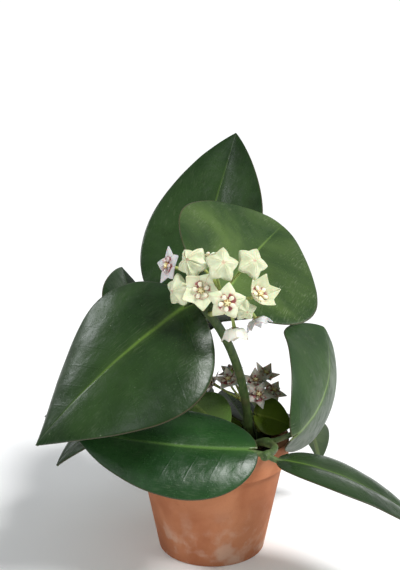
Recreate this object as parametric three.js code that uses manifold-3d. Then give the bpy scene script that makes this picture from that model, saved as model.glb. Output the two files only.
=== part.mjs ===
// A flowering hoya in a plain clay pot. Millimetres, +Z up, origin at the middle of the pot's base.
// The plant is seen from -Y: two large leaves and an umbel lean out over the front of the pot.
import * as THREE from 'three';
import Module from 'manifold-3d';

const wasm = await Module();
wasm.setup();

// ---- driving dimensions ----

const GAP = 0.3; // clearance between touching pieces

const POT = {
  height: 78, rimHeight: 16, rimRadius: 52, shoulderRadius: 48.5, baseRadius: 36,
  wall: 5, floor: 6, edge: 1.5, sides: 40,
  drainHoles: 5, drainRadius: 4, drainCircle: 20, drainSides: 16,
};
const SOIL = { top: 70, relief: 1.6, waves: [0.31, 0.27, 0.53], sides: 28, rings: 4 };

const VINE = { sides: 8, step: 7, nodeSwell: 0.8, nodeLength: 4 };

// The petiole joins the blade a little way along the midrib, its top edge just above the blade's middle.
const PETIOLE = { radius: 1.7, sides: 6, steps: 4, seat: 0.05, rise: 0.4, reach: 0.45 };

// Blade outline: width grows as s^base and closes as (1 - s)^point, with heart-shaped lobes behind s = 0.
const BLADE = {
  baseExponent: 0.5, lobe: 0.06, lobeSpread: 1.6, lobeFade: 5, bluntFrom: 6,
  ribThickness: 1.9, marginThickness: 1.0, narrow: 0.5, lengthCells: 10, widthCells: 6, ribSteps: 48,
};

// The corolla is flat out to its floor, under the corona, and its petals bend from there. sinus is how
// far it reaches between two tips. The corona has its rings' radii and heights, and then the share of
// both that is left between two knobs.
const FLOWER = { radius: 11.4, sinus: 0.64, floor: 4.6, thickness: 0.9 };
const CORONA = { rings: [[4.5, 0], [4, 2.3], [2.2, 1.84]], centre: 1.6, neck: [0.55, 0.45] };

// A bud's rings as shares of its radius, and the share of its radius that is left between two corners.
const BUD = {
  rings: [[0.5, 0.1], [0.92, 0.34], [1, 0.56], [0.8, 0.84], [0.4, 1]], height: 1.06, waist: 0.72, sides: 10,
};

const STALK = {
  peduncle: 1.5, hubSwell: 0.35, pedicel: 0.8, flare: 1.25, sides: 6, pedicelSides: 5, steps: 5,
  reach: 0.4, rootedBy: 0.02,
};

const LOOKS = {
  clay: { color: 0xb5694a, roughness: 0.85 },
  soil: { color: 0x3a2a1e, roughness: 0.95 },
  vine: { color: 0x5f6b35, roughness: 0.6 },
  leaf: { color: 0x2f5a32, roughness: 0.35 },
  youngLeaf: { color: 0x6f8c3a, roughness: 0.35 },
  stalk: { color: 0xa9b660, roughness: 0.5 },
  petal: { color: 0xe6e8c8, roughness: 0.4 },
  bud: { color: 0xdfe3ae, roughness: 0.4 },
};

// Each vine: the points it runs through from inside the soil to its tip, and its radius at both ends.
const VINES = {
  front: {
    points: [
      [28, 2, 47], [26.5, -3, 72], [24, -11, 88], [19.5, -28, 117], [13.4, -42, 140],
      [5, -54, 160.5], [-4, -62, 176], [-6, -63, 181],
    ],
    radius: [2.95, 2.55],
  },
  middle: {
    points: [
      [-14, 11, 47], [-14.5, 10, 75], [-15.5, 7, 104], [-16, 5, 124], [-16.5, 5, 143],
      [-16.8, 7, 154], [-17, 11, 164], [-17, 12, 168],
    ],
    radius: [2.6, 2.1],
  },
  right: { points: [[33, 13, 48], [33, 8, 66], [33, 4, 75], [32.5, 2, 80]], radius: [2.4, 2.2] },
  rear: { points: [[-5, 25, 48], [-5, 27, 72], [-6, 29, 83], [-6, 29.5, 88]], radius: [2.4, 2.2] },
  trailing: {
    points: [
      [16, -16, 48], [20, -20, 70], [31, -33, 84], [37, -44, 86.5], [36, -60, 89],
      [31, -71, 90.5], [29, -74, 90.5],
    ],
    radius: [2.5, 2.0],
  },
};

// Each leaf: the vine and the point on it that the petiole grows from, the base of the blade, the
// midrib's heading (0 = +X, 90 = away from the front) and its swing, its rise at base and at tip,
// the blade's roll at base and at tip, its length, width, fold along the midrib, curl of each half,
// and how pointed it is. A blunt leaf has a rounder tip, and young leaves are paler.
const LEAVES = {
  front_left: {
    vine: 'front', node: [-4, -62, 176], base: [-17, -70.5, 178.5],
    heading: 204, swing: -11, rise: [-30, -50], roll: [38, 17],
    length: 112, width: 102, fold: 1, curl: 20, point: 1.0,
  },
  front_right: {
    vine: 'front', node: [-4, -62, 176], base: [4.8, -69, 184.6],
    heading: 73.5, swing: -13, rise: [14, 16], roll: [-40, -39.5],
    length: 115, width: 104, fold: 14, curl: 8.5, point: 0.9, blunt: 0.3,
  },
  tall: {
    vine: 'middle', node: [-17, 11, 164], base: [-15, 23, 165],
    heading: 74.5, swing: -29.5, rise: [47.5, 68.5], roll: [17, -13.5],
    length: 134, width: 98, fold: 14, curl: 7.5, point: 0.9,
  },
  right: {
    vine: 'trailing', node: [34, -38, 85.5], base: [51.8, -44.5, 94],
    heading: 51, swing: 45, rise: [14, 32], roll: [-106, -44],
    length: 114, width: 88, fold: -11, curl: 21, point: 0.5, blunt: 0.3,
  },
  low_front: {
    vine: 'trailing', node: [31, -71, 90.5], base: [20, -69, 93],
    heading: 184, swing: -6, rise: [2, 13], roll: [32, 33],
    length: 104, width: 66, fold: 5, curl: 34, point: 0.9,
  },
  low_front_right: {
    vine: 'trailing', node: [31, -71, 90.5], base: [42, -75, 88],
    heading: 348, swing: 10, rise: [-5, -45], roll: [8, 4],
    length: 92, width: 68, fold: 12, curl: 25, point: 0.9,
  },
  left_rear: {
    vine: 'middle', node: [-16, 5, 124], base: [-46, 1, 126],
    heading: 99, swing: 11, rise: [25, 36], roll: [-32, -45],
    length: 102, width: 76, fold: 14, curl: 9, point: 0.9,
  },
  small_front: {
    vine: 'middle', node: [-15.5, 7, 104], base: [-14, -10, 102],
    heading: 305, swing: -8, rise: [-6, -14], roll: [-35, -20],
    length: 44, width: 34, fold: 8, curl: 12, point: 0.9, young: true,
  },
  upper_rear: {
    vine: 'middle', node: [-16.6, 6, 150], base: [-5, 3, 155],
    heading: 38, swing: 4, rise: [6, -8], roll: [0, -10],
    length: 100, width: 70, fold: 14, curl: 12, point: 0.9,
  },
  mid_rear: {
    vine: 'middle', node: [-16.3, 5, 138], base: [-14, 16, 143],
    heading: 92, swing: 4, rise: [8, 0], roll: [5, 0],
    length: 98, width: 56, fold: 14, curl: 14, point: 0.9,
  },
  mid_left: {
    vine: 'middle', node: [-15.5, 7, 104], base: [-28, 8, 105],
    heading: 178, swing: -4, rise: [8, -35], roll: [-4, 0],
    length: 92, width: 64, fold: 14, curl: 14, point: 0.9,
  },
  low_right_rear: {
    vine: 'right', node: [33, 4, 75], base: [27.8, 13.5, 80.5],
    heading: 99, swing: 2, rise: [14, -28], roll: [9, 2],
    length: 88, width: 51, fold: 10, curl: 16, point: 0.9, young: true,
  },
  low_right: {
    vine: 'right', node: [33, 4, 75], base: [46.4, 11.8, 81.5],
    heading: 56, swing: -6, rise: [2, -80], roll: [4, 0],
    length: 86, width: 36, fold: 12, curl: 14, point: 0.9,
  },
  dark_right: {
    vine: 'front', node: [24, -11, 88], base: [28.5, -10, 94],
    heading: 6, swing: 0, rise: [-14, -26], roll: [-45, -45],
    length: 26, width: 28, fold: 16, curl: 8, point: 0.9,
  },
  dark_centre: {
    vine: 'front', node: [24, -11, 88], base: [21, 0, 87],
    heading: 107, swing: 0, rise: [12, 10], roll: [-10, -10],
    length: 43, width: 28, fold: 16, curl: 8, point: 0.9,
  },
  low_rear: {
    vine: 'rear', node: [-6, 29, 83], base: [-11, 42, 85.5],
    heading: 126, swing: -6, rise: [8, -50], roll: [0, 0],
    length: 94, width: 60, fold: 12, curl: 16, point: 0.9,
  },
  low_left_rear: {
    vine: 'rear', node: [-6, 29, 83], base: [-27, 26, 84],
    heading: 195, swing: 6, rise: [10, -50], roll: [0, 0],
    length: 92, width: 52, fold: 12, curl: 16, point: 0.9,
  },
};

// Each umbel: where its peduncle leaves the vine and where its pedicels start, and its flowers with
// their place, the direction they face, a turn about it, and the angles their petals rise through.
// A bud has its radius instead. samples is the number of points round each of its flowers.
const UMBELS = {
  front: {
    vine: 'front', from: [-2.6, -60.7, 173.5], bend: [0, -80, 174], hub: [4, -79, 189], samples: 20,
    flowers: [
      { at: [6, -104, 188.5], face: [0.12, -1, -0.12], turn: 18, petals: [10, -20] },
      { at: [-7.3, -93.5, 193], face: [-0.15, -1, 0.05], turn: 54, petals: [20, 58], size: 1.08 },
      { at: [24, -90.5, 190], face: [0.45, -0.6, 0.5], turn: 30, petals: [44, 78], size: 1.2 },
      { at: [-9.3, -84.5, 205.3], face: [-0.5, -0.8, 0.3], turn: 30, bud: 9.5 },
      { at: [2, -92, 205], face: [0.3, -0.9, 0.35], turn: 26, bud: 9.8 },
      { at: [17.6, -85.6, 204.7], face: [0.45, -0.8, 0.5], turn: 12, bud: 9.6 },
      { at: [-16, -83.5, 191.5], face: [-0.8, -0.6, 0], turn: 40, bud: 9.3 },
      { at: [15.5, -92.2, 183], face: [0.2, -0.9, -0.2], turn: 30, bud: 6.4 },
      { at: [10.8, -89.4, 170.4], face: [0.1, -0.25, -1], turn: 20, petals: [52, 86], size: 1.05 },
      { at: [23.5, -79, 173.5], face: [0.4, -0.25, -0.85], turn: 30, petals: [75, 45] },
      { at: [-26, -75, 203.6], face: [-0.8, -0.5, 0.25], turn: 50, petals: [0, 15] },
      { at: [-4, -75.5, 208], face: [-0.2, 0.35, 0.9], turn: 30, petals: [10, 35], size: 0.8 },
    ],
  },
  rear: {
    vine: 'right', from: [32.8, 3, 77.5], bend: [29, -7, 87], hub: [22, 3.4, 98.1], samples: 10,
    flowers: [
      { at: [11, -1, 115.5], face: [-0.2, -0.5, 0.85], turn: 20, petals: [20, 40], size: 0.95 },
      { at: [0.5, 10, 109.5], face: [-0.9, 0.1, 0.5], turn: 0, petals: [10, 20], size: 0.85 },
      { at: [29.5, 6, 112.5], face: [0.05, -0.45, 0.85], turn: 18, petals: [20, 45], size: 1 },
      { at: [37.5, 20.5, 113.5], face: [0.3, -0.4, 0.8], turn: 0, petals: [25, 50], size: 0.95 },
      { at: [30.5, -9, 107.5], face: [0.15, -0.65, 0.6], turn: 0, petals: [5, 20], size: 0.95 },
      { at: [13, 20, 116], face: [-0.3, 0.8, 0.7], turn: 18, petals: [10, 30], size: 0.88 },
      { at: [42, 8, 105], face: [0.4, -0.5, 0.7], turn: 0, petals: [0, 20], size: 0.95 },
    ],
  },
};

// ---- small helpers ----

const degrees = THREE.MathUtils.degToRad;
const vector = (p) => new THREE.Vector3(p[0], p[1], p[2]);
const mix = (a, b, s) => a + (b - a) * s;

// A geometry from triangles of points. Points that coincide become one, and flat triangles go.
function fromTriangles(triangles) {
  const places = new Map();
  const positions = [];
  const index = [];
  const number = (p) => {
    const key = [p.x, p.y, p.z].map((value) => Math.round(value * 2000)).join();
    if (!places.has(key)) {
      places.set(key, positions.length / 3);
      positions.push(p.x, p.y, p.z);
    }
    return places.get(key);
  };
  for (const triangle of triangles) {
    const [a, b, c] = triangle.map(number);
    if (a !== b && b !== c && c !== a) index.push(a, b, c);
  }
  const geometry = new THREE.BufferGeometry();
  geometry.setAttribute('position', new THREE.Float32BufferAttribute(positions, 3));
  geometry.setIndex(index);
  return geometry;
}

function toSolid(geometry) {
  return new wasm.Manifold(new wasm.Mesh({
    numProp: 3,
    vertProperties: new Float32Array(geometry.getAttribute('position').array),
    triVerts: new Uint32Array(geometry.getIndex().array),
  }));
}

function toGeometry(solid) {
  const mesh = solid.getMesh();
  const geometry = new THREE.BufferGeometry();
  geometry.setAttribute('position', new THREE.BufferAttribute(new Float32Array(mesh.vertProperties), 3));
  geometry.setIndex(new THREE.BufferAttribute(new Uint32Array(mesh.triVerts), 1));
  return geometry;
}

// Triangles between two rings of equal length, then from a ring to a single point.
function band(lower, upper) {
  return lower.flatMap((point, k) => {
    const next = (k + 1) % lower.length;
    return [[point, lower[next], upper[next]], [point, upper[next], upper[k]]];
  });
}

function cap(ring, tip) {
  return ring.map((point, k) => [point, ring[(k + 1) % ring.length], tip]);
}

// A closed body from rings stacked between a first and a last point.
function stack(first, rings, last) {
  const triangles = cap(rings[0], first).map(([a, b, c]) => [b, a, c]);
  for (let k = 1; k < rings.length; k += 1) triangles.push(...band(rings[k - 1], rings[k]));
  triangles.push(...cap(rings[rings.length - 1], last));
  return fromTriangles(triangles);
}

// A round tube along a curve with flat ends. radiusAt takes the fraction of the curve's length.
function tube(curve, steps, sides, radiusAt) {
  const frames = curve.computeFrenetFrames(steps, false);
  const centres = Array.from({ length: steps + 1 }, (_, k) => curve.getPointAt(k / steps));
  const rings = centres.map((centre, k) => Array.from({ length: sides }, (_, j) => {
    const angle = (2 * Math.PI * j) / sides;
    return centre.clone()
      .addScaledVector(frames.normals[k], radiusAt(k / steps) * Math.cos(angle))
      .addScaledVector(frames.binormals[k], radiusAt(k / steps) * Math.sin(angle));
  }));
  return stack(centres[0], rings, centres[steps]);
}

const plant = new THREE.Group();

function add(name, geometry, look) {
  const mesh = new THREE.Mesh(geometry, new THREE.MeshStandardMaterial({ ...look, metalness: 0 }));
  mesh.name = name;
  geometry.computeVertexNormals();
  plant.add(mesh);
  return mesh;
}

// ---- pot ----

function wallRadius(z) {
  return mix(POT.baseRadius, POT.shoulderRadius, z / (POT.height - POT.rimHeight));
}

function innerRadius(z) {
  return wallRadius(z) - POT.wall;
}

function lathe(profile, sides) {
  const ring = ([radius, z]) => Array.from({ length: sides }, (_, k) => {
    const angle = (2 * Math.PI * k) / sides;
    return new THREE.Vector3(radius * Math.cos(angle), radius * Math.sin(angle), z);
  });
  const [bottom, top] = [profile[0], profile[profile.length - 1]].map(([, z]) => new THREE.Vector3(0, 0, z));
  return stack(bottom, profile.slice(1, -1).map(ring), top);
}

function potGeometry() {
  const underRim = POT.height - POT.rimHeight;
  const profile = [
    [0, 0], [POT.baseRadius - POT.edge, 0], [POT.baseRadius, POT.edge],
    [wallRadius(underRim), underRim], [POT.rimRadius - POT.edge, underRim],
    [POT.rimRadius, underRim + POT.edge], [POT.rimRadius, POT.height - POT.edge],
    [POT.rimRadius - POT.edge, POT.height],
    [innerRadius(POT.height) + POT.edge, POT.height], [innerRadius(POT.height), POT.height - POT.edge],
    [innerRadius(POT.floor), POT.floor], [0, POT.floor],
  ];
  let pot = toSolid(lathe(profile, POT.sides));
  for (let k = 0; k < POT.drainHoles; k += 1) {
    const angle = (2 * Math.PI * k) / POT.drainHoles;
    const hole = new THREE.CylinderGeometry(POT.drainRadius, POT.drainRadius, POT.floor * 3, POT.drainSides)
      .rotateX(Math.PI / 2)
      .translate(POT.drainCircle * Math.cos(angle), POT.drainCircle * Math.sin(angle), 0);
    pot = pot.subtract(closedSolid(hole));
  }
  return toGeometry(pot);
}

// A three.js primitive as a solid, with its seams joined.
function closedSolid(geometry) {
  const place = geometry.getAttribute('position');
  const index = geometry.getIndex();
  const triangles = [];
  for (let k = 0; k < index.count; k += 3) {
    triangles.push([0, 1, 2].map((j) => new THREE.Vector3().fromBufferAttribute(place, index.getX(k + j))));
  }
  return toSolid(fromTriangles(triangles));
}

// ---- vines ----

// A smooth curve through the vine's points, with swellings at the nodes that leaves grow from.
function vineTube(name, extra) {
  const vine = VINES[name];
  const curve = new THREE.CatmullRomCurve3(vine.points.map(vector), false, 'centripetal');
  const length = curve.getLength();
  const leaves = Object.values(LEAVES).filter((leaf) => leaf.vine === name);
  const swellings = leaves.map((leaf) => vector(leaf.node));
  const radiusAt = (s) => {
    const here = curve.getPointAt(s);
    const nearest = Math.min(...swellings.map((node) => node.distanceTo(here)));
    const swell = VINE.nodeSwell * Math.exp(-((nearest / VINE.nodeLength) ** 2));
    return mix(vine.radius[0], vine.radius[1], s) + swell + extra;
  };
  return tube(curve, Math.round(length / VINE.step), VINE.sides, radiusAt);
}

// The vine with its clearance all round, to cut out of what touches it.
function clearedVine(name) {
  return toSolid(vineTube(name, GAP / Math.cos(Math.PI / VINE.sides)));
}

// ---- soil ----

function soilHeight(x, y) {
  const [across, away, slanting] = SOIL.waves;
  const coarse = Math.sin(x * across + 1) * Math.cos(y * away);
  return SOIL.top + SOIL.relief * (coarse + 0.5 * Math.sin((x + y) * slanting));
}

function soilGeometry() {
  const outer = (z) => (innerRadius(z) - GAP) * Math.cos(Math.PI / POT.sides);
  const ring = (radius, heightAt) => Array.from({ length: SOIL.sides }, (_, k) => {
    const angle = (2 * Math.PI * k) / SOIL.sides;
    const [x, y] = [radius * Math.cos(angle), radius * Math.sin(angle)];
    return new THREE.Vector3(x, y, heightAt(x, y));
  });
  const bottom = POT.floor + GAP;
  const surface = outer(SOIL.top - 2 * SOIL.relief);
  const rings = [ring(outer(bottom), () => bottom)];
  for (let k = SOIL.rings; k > 0; k -= 1) rings.push(ring((surface * k) / SOIL.rings, soilHeight));
  const [lowest, middle] = [bottom, soilHeight(0, 0)].map((z) => new THREE.Vector3(0, 0, z));
  let soil = toSolid(stack(lowest, rings, middle));
  for (const name of Object.keys(VINES)) soil = soil.subtract(clearedVine(name));
  return toGeometry(soil);
}

// ---- leaves ----

// The midrib of a leaf: a function that gives its place and directions at a fraction s of its length.
function midrib(leaf) {
  const steps = BLADE.ribSteps;
  const direction = (s) => {
    const pitch = degrees(mix(leaf.rise[0], leaf.rise[1], s));
    const heading = degrees(leaf.heading + leaf.swing * s);
    const flat = [Math.cos(heading), Math.sin(heading)];
    return {
      along: new THREE.Vector3(Math.cos(pitch) * flat[0], Math.cos(pitch) * flat[1], Math.sin(pitch)),
      upright: new THREE.Vector3(-Math.sin(pitch) * flat[0], -Math.sin(pitch) * flat[1], Math.cos(pitch)),
    };
  };
  const places = [vector(leaf.base)];
  for (let k = 0; k < steps; k += 1) {
    places.push(places[k].clone().addScaledVector(direction((k + 0.5) / steps).along, leaf.length / steps));
  }
  return (s) => {
    const inside = THREE.MathUtils.clamp(s, 0, 1);
    const cell = Math.min(Math.floor(inside * steps), steps - 1);
    const { along, upright } = direction(inside);
    const left = new THREE.Vector3().crossVectors(upright, along);
    const roll = degrees(mix(leaf.roll[0], leaf.roll[1], inside));
    return {
      place: places[cell].clone().lerp(places[cell + 1], inside * steps - cell)
        .addScaledVector(along, Math.min(s, 0) * leaf.length),
      along,
      up: upright.clone().multiplyScalar(Math.cos(roll)).addScaledVector(left, Math.sin(roll)),
      left: left.clone().multiplyScalar(Math.cos(roll)).addScaledVector(upright, -Math.sin(roll)),
    };
  };
}

// Half the blade's width at s, as a fraction of its widest half. A blunt tip closes more roundly.
function outline(s, point, blunt) {
  const widest = BLADE.baseExponent / (BLADE.baseExponent + point);
  const closing = point * (1 - blunt * s ** BLADE.bluntFrom);
  return (s / widest) ** BLADE.baseExponent * ((1 - s) / (1 - widest)) ** closing;
}

// A point on the blade's middle surface and its normal: s runs from base to tip, t from -1 to 1 across.
function bladePoint(leaf, rib, s, t) {
  const across = Math.abs(t);
  const hand = Math.sign(t);
  const lobed = s - BLADE.lobe * across ** BLADE.lobeSpread * (1 - s) ** BLADE.lobeFade;
  const frame = rib(lobed);
  const half = (leaf.width / 2) * outline(s, leaf.point, leaf.blunt ?? 0);
  const fold = degrees(leaf.fold);
  const curl = degrees(leaf.curl);
  const slope = fold - curl * across;
  const out = (half * (Math.sin(fold) - Math.sin(slope))) / curl;
  const lift = (half * (Math.cos(slope) - Math.cos(fold))) / curl;
  const place = frame.place.addScaledVector(frame.left, out * hand).addScaledVector(frame.up, lift);
  // Right at the base and the tip the blade has no width, and its normal is the midrib's.
  const tilt = half > BLADE.narrow ? slope : 0;
  const normal = frame.up.clone().multiplyScalar(Math.cos(tilt));
  normal.addScaledVector(frame.left, -hand * Math.sin(tilt));
  return { place, normal };
}

function bladeGeometry(leaf, rib) {
  const { lengthCells, widthCells } = BLADE;
  const side = (direction) => Array.from({ length: lengthCells + 1 }, (_, i) => {
    const s = (1 - Math.cos((Math.PI * i) / lengthCells)) / 2;
    return Array.from({ length: widthCells + 1 }, (__, j) => {
      const t = (2 * j) / widthCells - 1;
      const { place, normal } = bladePoint(leaf, rib, s, t);
      const half = mix(BLADE.ribThickness, BLADE.marginThickness, Math.abs(t)) / 2;
      return place.addScaledVector(normal, half * direction);
    });
  });
  const [upper, lower] = [side(1), side(-1)];
  const triangles = [];
  for (let i = 0; i < lengthCells; i += 1) {
    for (let j = 0; j < widthCells; j += 1) {
      // Both faces split along the same diagonal, mirrored about the midrib.
      const corners = [[i, j], [i + 1, j], [i + 1, j + 1], [i, j + 1]];
      const split = j < widthCells / 2 ? [[0, 1, 2], [0, 2, 3]] : [[0, 1, 3], [1, 2, 3]];
      for (const [a, b, c] of split) {
        const pick = (face, k) => face[corners[k][0]][corners[k][1]];
        triangles.push([pick(upper, a), pick(upper, b), pick(upper, c)]);
        triangles.push([pick(lower, c), pick(lower, b), pick(lower, a)]);
      }
    }
    for (const [edge, flip] of [[0, false], [widthCells, true]]) {
      const wall = [
        [upper[i][edge], lower[i][edge], lower[i + 1][edge]],
        [upper[i][edge], lower[i + 1][edge], upper[i + 1][edge]],
      ];
      triangles.push(...wall.map(([a, b, c]) => (flip ? [a, c, b] : [a, b, c])));
    }
  }
  return fromTriangles(triangles);
}

// A petiole from the vine's axis to just under the blade's base.
function petioleGeometry(leaf, rib) {
  const joint = rib(PETIOLE.seat);
  const end = joint.place.clone().addScaledVector(joint.up, PETIOLE.rise - PETIOLE.radius);
  const start = vector(leaf.node);
  const reach = start.distanceTo(end) * PETIOLE.reach;
  const curve = new THREE.QuadraticBezierCurve3(start, end.clone().addScaledVector(joint.along, -reach), end);
  return tube(curve, PETIOLE.steps, PETIOLE.sides, () => PETIOLE.radius);
}

function leafGeometry(leaf) {
  const rib = midrib(leaf);
  const whole = toSolid(bladeGeometry(leaf, rib)).add(toSolid(petioleGeometry(leaf, rib)));
  return toGeometry(whole.subtract(clearedVine(leaf.vine)));
}

// ---- umbels ----

// Distance from the centre to the corolla's edge at an angle, with a petal tip at every 72 degrees.
function starRadius(angle) {
  const sector = degrees(36);
  const fromTip = Math.abs(((angle % (2 * sector)) + 3 * sector) % (2 * sector) - sector);
  const corner = FLOWER.sinus * Math.sin(sector);
  return corner / (Math.sin(fromTip) + FLOWER.sinus * Math.sin(sector - fromTip));
}

// The petals' curved face: out and up at a fraction of the way from the floor's edge to the petal's.
function petalCurve(flower, angle, fraction) {
  const reach = FLOWER.radius * (flower.size ?? 1) * starRadius(angle) - FLOWER.floor;
  const [first, last] = flower.petals.map(degrees);
  const slope = mix(first, last, fraction);
  const out = (reach * (Math.sin(slope) - Math.sin(first))) / (last - first);
  const height = (reach * (Math.cos(first) - Math.cos(slope))) / (last - first);
  return { out: FLOWER.floor + out, height, slope };
}

// A corolla of five joined petals round a corona of five knobs, facing +Z.
function flowerGeometry(flower, samples) {
  const turned = (angle, out, z) => new THREE.Vector3(out * Math.cos(angle), out * Math.sin(angle), z);
  const ring = (make) => Array.from({ length: samples }, (_, k) => make((2 * Math.PI * k) / samples));
  const petals = (fraction, lift) => ring((angle) => {
    const { out, height, slope } = petalCurve(flower, angle, fraction);
    return turned(angle, out - lift * Math.sin(slope), height + lift * Math.cos(slope));
  });
  const half = FLOWER.thickness / 2;
  const corona = (distance, height) => ring((angle) => {
    const knob = 0.5 - 0.5 * Math.cos(5 * angle);
    const [out, up] = CORONA.neck.map((neck) => mix(neck, 1, knob));
    return turned(angle, distance * out, half + height * up);
  });
  const floor = (height) => ring((angle) => turned(angle, FLOWER.floor, height));
  const rings = [
    floor(-half), petals(0.5, -half), petals(1, -half), petals(1, half), petals(0.5, half), floor(half),
    ...CORONA.rings.map(([distance, height]) => corona(distance, height)),
  ];
  return stack(new THREE.Vector3(0, 0, -half), rings, new THREE.Vector3(0, 0, CORONA.centre + half));
}

// A closed bud: five corners round its waist, and seams that meet at a low point.
function budGeometry(flower) {
  const size = flower.bud;
  const corner = (angle) => mix(BUD.waist, 1, (0.5 + 0.5 * Math.cos(5 * angle)) ** 2);
  const ring = (share, height) => Array.from({ length: BUD.sides }, (_, k) => {
    const angle = (2 * Math.PI * k) / BUD.sides;
    const out = size * share * mix(1, corner(angle), share);
    return new THREE.Vector3(out * Math.cos(angle), out * Math.sin(angle), height * size);
  });
  const rings = BUD.rings.map(([share, height]) => ring(share, height));
  return stack(new THREE.Vector3(0, 0, 0), rings, new THREE.Vector3(0, 0, BUD.height * size));
}

// The turn that makes +Z face the flower's way.
function facing(flower) {
  const axis = new THREE.Vector3(0, 0, 1);
  const tilt = new THREE.Quaternion().setFromUnitVectors(axis, vector(flower.face).normalize());
  return tilt.multiply(new THREE.Quaternion().setFromAxisAngle(axis, degrees(flower.turn)));
}

// The peduncle and its pedicels, each ending just short of its flower.
function stalksGeometry(umbel) {
  const hub = vector(umbel.hub);
  const peduncle = new THREE.QuadraticBezierCurve3(vector(umbel.from), vector(umbel.bend), hub);
  const thick = (s) => STALK.peduncle * (1 + STALK.hubSwell * s ** 6);
  let stalks = toSolid(tube(peduncle, STALK.steps, STALK.sides, thick));
  for (const flower of umbel.flowers) {
    const face = vector(flower.face).normalize();
    const behind = flower.bud ? GAP : FLOWER.thickness / 2 + GAP;
    const end = vector(flower.at).addScaledVector(face, -behind);
    const start = hub.clone().lerp(end, -STALK.rootedBy);
    const reach = start.distanceTo(end) * STALK.reach;
    const curve = new THREE.QuadraticBezierCurve3(start, end.clone().addScaledVector(face, -reach), end);
    const flare = (s) => mix(STALK.pedicel, STALK.flare, s ** 5);
    stalks = stalks.add(toSolid(tube(curve, STALK.steps, STALK.pedicelSides, flare)));
  }
  return toGeometry(stalks.subtract(clearedVine(umbel.vine)));
}

// ---- the potted plant ----

add('pot', potGeometry(), LOOKS.clay);
add('soil', soilGeometry(), LOOKS.soil);

for (const name of Object.keys(VINES)) add(`vine_${name}`, vineTube(name, 0), LOOKS.vine);

for (const [name, leaf] of Object.entries(LEAVES)) {
  add(`leaf_${name}`, leafGeometry(leaf), leaf.young ? LOOKS.youngLeaf : LOOKS.leaf);
}

for (const [name, umbel] of Object.entries(UMBELS)) {
  add(`stalks_${name}`, stalksGeometry(umbel), LOOKS.stalk);
  umbel.flowers.forEach((flower, k) => {
    const mesh = flower.bud
      ? add(`bud_${name}_${k + 1}`, budGeometry(flower), LOOKS.bud)
      : add(`flower_${name}_${k + 1}`, flowerGeometry(flower, umbel.samples), LOOKS.petal);
    mesh.quaternion.copy(facing(flower));
    mesh.position.copy(vector(flower.at));
  });
}

export default plant;
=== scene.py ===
"""A flowering hoya in a clay pot, dressed for its portrait.

The leaves, flowers and vines follow the frame's own nodes, in metres, +Z up, with the pot's base at
the origin. The plant is seen from -Y.
"""
import random
from math import cos, exp, pi, radians, sin
from types import SimpleNamespace as Sizes

import bpy
from mathutils import Matrix, Quaternion, Vector, noise


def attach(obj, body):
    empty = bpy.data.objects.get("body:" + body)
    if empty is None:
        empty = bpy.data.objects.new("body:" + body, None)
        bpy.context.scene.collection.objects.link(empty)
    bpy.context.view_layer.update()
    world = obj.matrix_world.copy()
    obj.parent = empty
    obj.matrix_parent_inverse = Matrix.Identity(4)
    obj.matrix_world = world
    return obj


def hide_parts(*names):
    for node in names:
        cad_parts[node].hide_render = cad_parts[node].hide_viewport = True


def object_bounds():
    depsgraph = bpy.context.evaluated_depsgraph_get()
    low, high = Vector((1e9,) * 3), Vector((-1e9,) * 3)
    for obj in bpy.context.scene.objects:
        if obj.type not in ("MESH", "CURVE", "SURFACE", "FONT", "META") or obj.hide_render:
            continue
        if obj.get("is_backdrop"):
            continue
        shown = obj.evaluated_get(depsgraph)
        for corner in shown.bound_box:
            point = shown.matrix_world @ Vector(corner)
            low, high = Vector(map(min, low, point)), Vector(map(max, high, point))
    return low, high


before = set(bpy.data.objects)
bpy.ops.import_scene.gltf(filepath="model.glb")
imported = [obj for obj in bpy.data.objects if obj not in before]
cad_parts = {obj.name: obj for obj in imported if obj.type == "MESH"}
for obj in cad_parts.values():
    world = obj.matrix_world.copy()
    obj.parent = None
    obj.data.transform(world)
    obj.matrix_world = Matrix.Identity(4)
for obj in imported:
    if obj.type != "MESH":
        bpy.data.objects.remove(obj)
cad_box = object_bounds()
MM = 0.001
UP = Vector((0, 0, 1))
FIFTH = radians(72)

# ---- driving dimensions, in millimetres and degrees unless a comment says otherwise ----

POT = Sizes(height=78, rim_height=16, rim=52, rim_lean=0.4, rim_round=8, shoulder=48.5, base=36,
            wall=5, floor=6, floor_round=1, corner=1.4,
            drain_holes=5, drain_radius=4, drain_circle=20, drill=20)
SOIL = Sizes(top=70, edge=3, relief=1.6, waves=(0.31, 0.27, 0.53), clear=0.4,
             rings=26, ring_step=1.55, crumb=1.1, crumb_scale=260, chips=90, chip_lift=0.2)

# Blade outline: width grows as s**base and closes as (1 - s)**point, with lobes behind s = 0.
# Its relief is full where the blade is at least twice full_relief wide.
BLADE = Sizes(base=0.5, blunt_from=6, lobe=0.06, lobe_spread=1.6, lobe_fade=5,
              notch=0.8, notch_fade=30, arch=0.025, channel=0.12, ripple=1.5, quilt=0.05,
              swelling=0.35, swelling_size=14, full_relief=20,
              rib=1.9, margin=0.9, along=56, across=28, rib_steps=48)
# Side veins: how many leave the rib, and how they slant and arch, in metres from the rib.
VEINS = Sizes(pairs=8, slant=5.4, arch=26, wander=0.02)
PETIOLE = Sizes(radius=1.7, seat=0.05, rise=0.4, reach=0.45, foot=0.25, foot_fade=0.12, taper=0.35)
FLOWER = Sizes(radius=11.4, floor=4.6, thickness=0.9, edge=0.35, roll=0.8, roll_from=0.6,
               groove=0.15, groove_width=0.14, seam=0.35, seam_width=0.12, waver=0.9, bulge=0.025)
KNOB = Sizes(centre=2.9, height=1.2, long=1.9, wide=1.45, high=1.05, rise=0.4, plump=(0.4, 1.15))
HEART = Sizes(height=1.35, dome=0.95, ray=1.3)
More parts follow.
